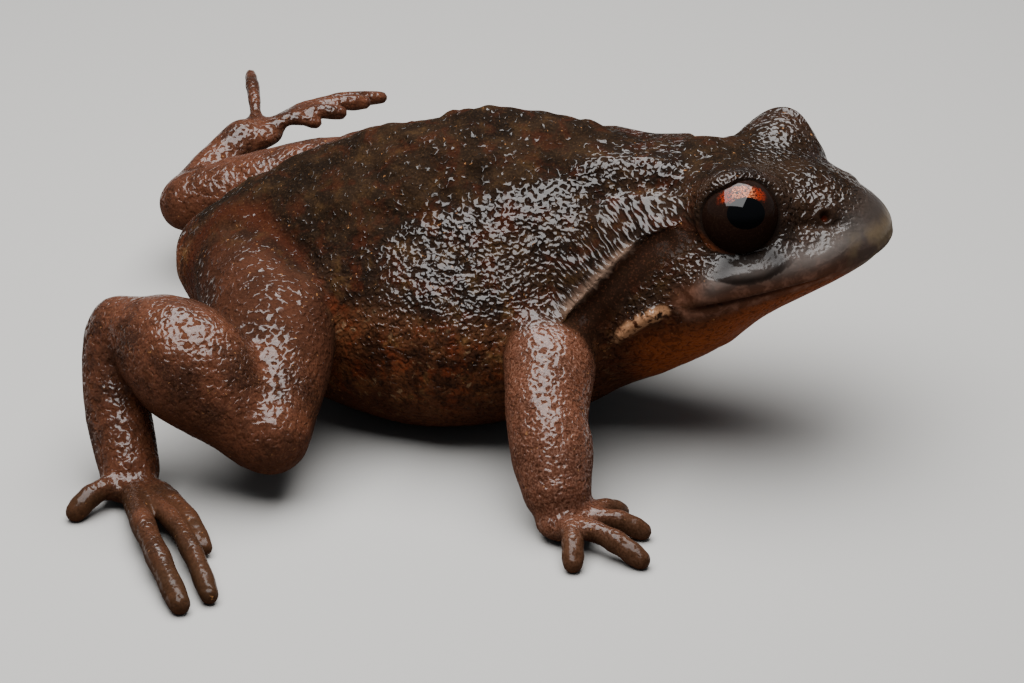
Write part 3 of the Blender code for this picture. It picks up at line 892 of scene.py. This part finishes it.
marks["limb"] = step(fromBody, 0.3, 1.5) * (1 - step(along, 10.3, 11.3) * step(height, 4.0, 6.0))
# surfaces facing down; away from the jaw their colour is darkened as painted shade on the undersides
marks["under"] = step(normals[:, 2], -0.15, -0.6)
marks["lid"] = bell(lidPast, 4.5)
marks["brow"] = bell(lidPast - 9, 7) * step(lidAround, 40, 60) * step(lidAround, 165, 145)
marks["combed"] = np.maximum(marks["combed"], marks["brow"])
marks["back"] = onTrunk * step(overEdge, -0.6, 0.4)
marks["low"] = onTrunk * step(height, 7.4, 4.6)
marks["head"] = step(along, 9.8, 12.2) * step(height, 4.0, 6.0)
marks["jaw"] = onTrunk * step(along, 8.3, 10.0)
thighGap = np.minimum(*(limbDistance(points, limbForm[name]) for name in ("thighRight", "thighLeft")))
marks["thighTop"] = step(thighGap, 0.9, 0.3) * step(np.abs(points[:, 1]), 9.9, 8.8)
dry = dryness(straight, dorsum + 0.15 * valueNoise(points, 0.9, 5.1), onTrunk) * (1 - 0.9 * marks["brow"])
marks["dry"] = np.clip(dry + 0.6 * marks["thighTop"], 0, 1)
marks["groove"] = bell(np.maximum(thighGap, fromBody) - 0.1, 0.35) * step(points[:, 2], 2.5, 4.0)
aboveLip = aboveLine(both, ridgeForm["lip"][0])
marks["satin"] = marks.pop("lip") ** np.where(aboveLip > 0, 0.70, 3.5) * step(both[:, 0], 11.6, 12.6)
marks["snout"] = step(along, 16.6, 18.0)
marks["tip"] = step(along, 16.9, 17.9) * step(height, 10.4, 9.8)
calm = ("lid", "nostrilRound", "band", "upperLip", "lowerLip", "snout")
marks["smooth"] = np.clip(sum(marks[name] for name in calm), 0, 1)
marks["arm"] = marks["limb"] * step(points[:, 0], 1.0, 3.0)
marks["digit"] = step(fromPalms, 0.6, 2.4) * step(points[:, 2], 1.6, 0.9) * step(fromBody, 1.0, 2.0)

skinMesh.vertices.foreach_set("co", (points * mm).ravel())
for name, values in marks.items():
    writeMark(skinMesh, name, values)

# the same places pressed together along the strokes over the fold: p - (1 - k)(p . d) d,
# and on the brow as (way round the rim, way past it)
stroke = np.array(skinForm["stroke"])
pressed = both - (1 - skinForm["strokePress"]) * (both @ stroke)[:, None] * stroke
lidPlace = np.column_stack([np.radians(lidAround) * 1.9, lidPast * 0.030, np.zeros(len(both))])
pressed = np.where(marks["brow"][:, None] > 0.02, lidPlace, pressed)
strokes = skinMesh.attributes.new("strokePlace", "FLOAT_VECTOR", "POINT")
strokes.data.foreach_set("vector", (pressed * mm).astype(np.float32).ravel())

# fewer triangles, with most of them kept on the face
holder = linked("frogSkin", skinMesh)
thinning = holder.vertex_groups.new(name="thinning")
faceShare = np.clip(step(straight[:, 0], 9, 12) + 0.35, 0, 1)
for level in range(5):
    chosen = np.flatnonzero((faceShare * 4.99).astype(int) == level)
    thinning.add(chosen.tolist(), 1 - level * 0.24, "REPLACE")
thin = holder.modifiers.new("thin", "DECIMATE")
thin.ratio = skinForm["triangles"] / (2 * len(skinMesh.polygons))
thin.use_collapse_triangulate = True
thin.vertex_group = "thinning"
thin.vertex_group_factor = 2.0
skinMesh = applied(holder)
points = read(skinMesh.vertices, "co", 3)
points[:, 2] = np.maximum(points[:, 2], 0.0)
skinMesh.vertices.foreach_set("co", points.ravel())
print("frog: skin has", len(skinMesh.polygons), "faces")

skin = linked("frogSkin", skinMesh)
skinMesh.shade_smooth()
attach(skin, "root")
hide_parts(*[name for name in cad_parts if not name.startswith("eye")])

skinFinish = {
    "black": (0.0075, 0.004, 0.0025),
    "brown": (0.019, 0.0092, 0.005),
    "rust": (0.036, 0.008, 0.003),
    "olive": (0.048, 0.024, 0.008),
    "backDark": (0.0065, 0.0036, 0.002),
    "backBrown": (0.015, 0.008, 0.004),
    "limb": (0.078, 0.0262, 0.0132),
    "limbDark": (0.029, 0.0105, 0.0056),
    "armGrain": (0.175, 0.083, 0.056),
    "limbGrain": (0.14, 0.064, 0.031),
    "toe": (0.032, 0.0155, 0.0072),
    "lowDark": (0.042, 0.0135, 0.0058),
    "lowBrown": (0.115, 0.039, 0.0155),
    "lowRust": (0.15, 0.029, 0.009),
    "lowOlive": (0.17, 0.085, 0.031),
    "lowPale": (0.24, 0.15, 0.08),
    "under": (0.17, 0.04, 0.01),
    "grain": (0.09, 0.048, 0.02),
    "speck": (0.26, 0.12, 0.045),
    "band": (0.01, 0.0042, 0.0021),
    "lidDark": (0.005, 0.0028, 0.002),
    "foldEdge": (0.19, 0.12, 0.085),
    "lipBlotch": (0.15, 0.07, 0.046),
    "lip": (0.062, 0.0235, 0.0125),
    # pale grey for the painted sheen on the upper lip's band
    "lipSheen": (0.135, 0.122, 0.112),
    "mouth": (0.02, 0.005, 0.0022),
    "nostril": (0.07, 0.011, 0.004),
    "glandPale": (0.25, 0.125, 0.064),
    "snoutGrey": (0.036, 0.028, 0.024),
    "snoutPale": (0.11, 0.078, 0.044),
    "pads": 5.0,
    "limbPads": 4.3,
    "padDepth": 0.016,
    "domeDepth": 0.062,
    "swellDepth": 0.06,
    "grainDepth": 0.007,
    # the film lies where the maze is over this level, which rises where the skin is dry
    "level": 0.405,
    "dryLevel": 0.32,
    "combedLevel": 0.05,
    "headLevel": 0.035,
    "levelBlur": 0.06,
    "wetRoughness": 0.13,
    "wetIor": 1.40,
    "mattRoughness": 0.8,
    "mattSpecular": 0.03,
}


def skinColour(s, form, mark, where, fine, pads):
    # the back, flank, limbs and face, as layers over the plain tone
    tone, blotch = s.noise(where, 0.55, 4.0, 0.6), s.noise(where, 2.0, 3.0, 0.6, 0.4)
    red, gold = s.noise(where, 0.85, 4.0, 0.65, 0.4), s.noise(where, 1.1, 4.0, 0.7, 0.3)
    low = s.layered(
        form, s.mix(tone.ramp(0.36, 0.60), form["lowDark"], form["lowBrown"]),
        (red.ramp(0.50, 0.68) * 0.7, "lowRust"),
        (gold.ramp(0.54, 0.70) * 0.7, "lowOlive"),
        (blotch.ramp(0.50, 0.62) * 0.6, "black"),
        (blotch.ramp(0.40, 0.32) * 0.6, "lowPale"),
        (mark.jaw * 0.9, "under"),
    )
    limb = s.layered(
        form, s.mix(tone.ramp(0.36, 0.60), form["limbDark"], form["limb"]),
        (gold.ramp(0.52, 0.68) * 0.5, "limbDark"),
        (fine.ramp(0.52, 0.72) * 0.40, "limbGrain"),
        (mark.thighTop * 0.6, "limbDark"),
        (mark.arm * 0.45, s.mix(fine.ramp(0.42, 0.66), form["limb"], form["armGrain"])),
    )
    curd = s.noise(where, 3.0, 3.0, 0.6)
    calm = 1 - mark.head * 0.8
    lips = mark.upperLip.most(mark.lowerLip)
    # painted shade: the grooves between the wet pads are darkened towards black
    paintedGrooveShade = (1 - pads) * (1 - mark.dry) * (1 - mark.limb * 0.6)
    return s.layered(
        form, s.mix(tone.ramp(0.38, 0.62), form["black"], form["brown"]),
        (mark.back * 0.9, s.mix(tone.ramp(0.40, 0.60), form["backDark"], form["backBrown"])),
        (red.ramp(0.48, 0.66) * (0.80 - mark.back * 0.35) * calm, "rust"),
        (gold.ramp(0.52, 0.70) * (0.70 - mark.back * 0.35) * calm, "olive"),
        (mark.low * 0.85, low),
        (mark.limb * 0.93, limb),
        (mark.groove * 0.7, "rust"),
        (mark.digit * 0.75, "toe"),
        # painted shade: surfaces facing down take the low dark tone, under the jaw the throat's orange
        (mark.under * 0.8, s.mix(mark.jaw, form["lowDark"], form["under"])),
        (fine.ramp(0.54, 0.74) * (1 - mark.limb) * 0.25, "grain"),
        (fine.ramp(0.48, 0.34) * 0.35, "black"),
        # painted shade in the grooves between the pads
        (paintedGrooveShade * 0.4, "black"),
        (s.noise(where, 4.5, 3.0, 0.6).ramp(0.68, 0.75) * 0.8, "speck"),
        (lips * 0.8, "lip"),
        (lips * blotch.ramp(0.44, 0.68) * 0.6, "lipBlotch"),
        # painted sheen: pale grey over the upper lip's satin band, standing in for its reflection
        (mark.satin * 0.45, "lipSheen"),
        (mark.snout * 0.8, "snoutGrey"),
        (mark.tip * s.noise(where, 0.9, 2.0, 0.5).ramp(0.42, 0.62) * 0.7, "snoutPale"),
        # painted shade: a dark ring in the hollow round the nostril, in the band's tone
        (mark.nostrilRound * 0.7, "band"),
        (mark.lid * 0.9, "lidDark"),
        (mark.band * 0.9, s.mix(fine.ramp(0.52, 0.70) * 0.35, form["band"], form["limb"])),
        (mark.gland.ramp(0.30, 0.8) * curd.ramp(0.38, 0.54), "glandPale"),
        (mark.fold * 0.8, "foldEdge"),
        (mark.mouth * 0.95, "mouth"),
        (mark.nostril.ramp(0.55, 0.95), "nostril"),
    )


def skinMaterial(form, marks):
    # a wet shader over a matt one, the film between them lying on a maze of pads
    s = Surface("wetFrogSkin")
    where = s.place()
    mark = SimpleNamespace(**{name: s.attribute(name) for name in marks})
    trunk = s.noise(where, form["pads"], 0.2, 0.5, 0.6)
    combed = s.noise(s.attribute("strokePlace", "Vector"), form["pads"] * 1.4, 0.2, 0.5, 0.15)
    limb = s.noise(where, form["limbPads"], 0.5, 0.5, 0.6)
    maze = s.blend(mark.limb, s.blend(mark.combed, trunk, combed), limb)
    level = form["level"] + mark.dry * form["dryLevel"] + mark.combed * form["combedLevel"]
    pads = (maze - (level - mark.head * form["headLevel"])).ramp(-form["levelBlur"], form["levelBlur"])
    fine = s.noise(where, 12.0, 2.0, 0.6)
    colour = skinColour(s, form, mark, where, fine, pads)

    smooth = (mark.smooth.most(mark.satin).most(mark.gland * 0.7) - mark.brow).clamped()
    depth = (1 - smooth * 0.9) * (1 - mark.digit * 0.8) * (1 - mark.limb * 0.25)
    stronger = 1 + (1 - mark.back).most(mark.head) * 0.6 + mark.low * 0.4
    relief = s.bump(s.noise(where, 1.5, 2.0, 0.5), form["swellDepth"])
    relief = s.bump(maze * depth * stronger, form["domeDepth"], relief)
    relief = s.bump(pads * depth, form["padDepth"], relief)
    relief = s.bump(fine * (1 - pads * 0.6), form["grainDepth"], relief)
    # undersides would mirror the pale floor, so the film is left off where the relief faces down
    upward = s.node("ShaderNodeVectorMath", {"operation": "DOT_PRODUCT"}, {0: relief, 1: (0, 0, 1)}, "Value")
    film = s.blend(smooth, pads, 0.55)
    film = film.most(mark.satin * 0.9).most(mark.snout * 0.7).most(mark.gland.ramp(0.15, 0.5))
    film = film * (1 - mark.band.most(mark.mouth).most(mark.fold * 0.5) * 0.93)
    film = film * (1 - mark.lid * 0.4) * (1 - mark.digit * 0.6) * (0.04 + upward.ramp(0.12, 0.42) * 0.96)
    roughness = form["wetRoughness"] + mark.limb * 0.06 + mark.satin * 0.12 + mark.snout * 0.22
    s.feed("Base Color", colour)
    s.feed("Roughness", (roughness + (fine - 0.5) * 0.10).clamped())
    s.feed("IOR", form["wetIor"])
    s.feed("Normal", relief)
    matt = s.node("ShaderNodeBsdfPrincipled", {}, {
        "Base Color": colour, "Roughness": form["mattRoughness"],
        "Specular IOR Level": form["mattSpecular"], "Normal": relief,
    })
    s.over(film.clamped(), matt)
    return s.material


skinMesh.materials.clear()
skinMesh.materials.append(skinMaterial(skinFinish, marks))
print("frog: skin finished")

eyeFinish = {
    "pupil": (0.001, 0.0011, 0.0014),
    "iris": (0.008, 0.0036, 0.0024),
    "irisRim": (0.017, 0.009, 0.0055),
    "copper": (0.16, 0.015, 0.0045),
    "copperPale": (0.42, 0.14, 0.06),
    "pupilRadii": (0.48, 0.40),  # shares of the eye's radius
    "roughness": 0.03,
    "ior": 1.30,
    "dullRoughness": 0.6,
    "glossFrom": (0.20, 0.42),  # below this height the gloss fades, where it would mirror the floor
}


def makeEye(name, side):
    # rings about the gaze, centre + radius (sin a cos t, sin a sin t, cos a), with these sines kept as marks
    centre, forward, up, out = eyeFrame(side, eyeForm["gaze"])
    radius, rows, columns = eyeForm["radius"], 90, 120
    angle = np.linspace(0.0, math.pi, rows)[1:-1, None]
    turn = np.linspace(0, 2 * math.pi, columns, endpoint=False)[None, :]
    across, upright = np.sin(angle) * np.cos(turn), np.sin(angle) * np.sin(turn)
    ahead = np.broadcast_to(np.cos(angle), across.shape)
    ball = (across[..., None] * forward + upright[..., None] * up + ahead[..., None] * out) * radius
    ring = np.concatenate([[centre + out * radius], (centre + ball).reshape(-1, 3), [centre - out * radius]])
    quads = gridFaces(rows - 2, columns, 1)[:-2]
    k = np.arange(columns)
    beside = (k + 1) % columns
    last = 1 + (rows - 3) * columns
    fans = np.stack([np.zeros_like(k), 1 + beside, 1 + k], axis=-1).tolist()
    fans += np.stack([np.full_like(k, len(ring) - 1), last + k, last + beside], axis=-1).tolist()
    mesh = bpy.data.meshes.new(name)
    mesh.from_pydata((ring * mm).tolist(), [], quads + fans)
    writeMark(mesh, "across", np.concatenate([[0], across.ravel(), [0]]))
    writeMark(mesh, "upright", np.concatenate([[0], upright.ravel(), [0]]))
    writeMark(mesh, "ahead", np.concatenate([[1], ahead.ravel(), [-1]]))
    writeMark(mesh, "upward", (ring[:, 2] - centre[2]) / radius)
    corners = ring[np.array(quads)]
    faceWay = np.cross(corners[:, 2] - corners[:, 0], corners[:, 3] - corners[:, 1])
    if np.einsum("ij,ij->i", faceWay, corners.mean(axis=1) - centre).mean() < 0:
        mesh.flip_normals()
    mesh.shade_smooth()
    eye = linked(name, mesh)
    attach(eye, "root")
    return eye


def eyeMaterial(form):
    # a dark iris with a ragged copper crescent over the pupil, glossy where it faces up
    s = Surface("glossyEye")
    where = s.place()
    across, upright, ahead = s.attribute("across"), s.attribute("upright"), s.attribute("ahead")
    wide, tall = form["pupilRadii"]
    grain, flecks = s.noise(where, 6.0, 3.0, 0.7, 0.5), s.noise(where, 11.0, 2.0, 0.7, 0.8)
    size = ((across / wide) * (across / wide) + (upright / tall) * (upright / tall)) ** 0.5
    size = size + (1 - ahead.ramp(-0.1, 0.1)) * 9
    ragged = size + (grain - 0.5) * 0.7
    crescent = ragged.ramp(1.85, 1.55) * (upright + (grain - 0.5) * 0.30).ramp(0.26, 0.38)
    crescent = crescent * (across + (grain - 0.5) * 0.2).ramp(-0.74, -0.50)
    crescent = crescent * (across + (flecks - 0.5) * 0.2).ramp(0.62, 0.46)
    middle = abs(across + 0.02).ramp(0.36, 0.20)
    colour = s.layered(
        form, s.mix(flecks.ramp(0.45, 0.75) * 0.6, form["iris"], form["irisRim"]),
        (crescent * flecks.ramp(0.40, 0.56), "copper"),
        (crescent * flecks.ramp(0.44, 0.60) * middle, "copperPale"),
        (size.ramp(1.03, 0.98), "pupil"),
    )
    s.feed("Base Color", colour)
    s.feed("Roughness", form["roughness"])
    s.feed("IOR", form["ior"])
    dull = s.node("ShaderNodeBsdfPrincipled", {}, {
        "Base Color": colour, "Roughness": form["dullRoughness"], "Specular IOR Level": 0.0,
    })
    s.over(s.attribute("upward").ramp(*form["glossFrom"]), dull)
    return s.material


eyeSurface = eyeMaterial(eyeFinish)
for name, side in (("eyeRight", -1), ("eyeLeft", 1)):
    eye = makeEye(name, side)
    eye.data.materials.append(eyeSurface)
    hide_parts("eye_right" if side < 0 else "eye_left")
print("frog: eyes done")

floorMesh = bpy.data.meshes.new("studioFloor")
floorMesh.from_pydata([(-3, -3, 0), (3, -3, 0), (3, 3, 0), (-3, 3, 0)], [], [(0, 1, 2, 3)])
floor = linked("studioFloor", floorMesh)
floorSurface = Surface("paleFloor")
floorSurface.feed("Base Color", (*viewForm["floorColour"], 1))
floorSurface.feed("Roughness", 0.9)
floorMesh.materials.append(floorSurface.material)

makeView(viewForm)
print("frog: camera, lights and floor set")
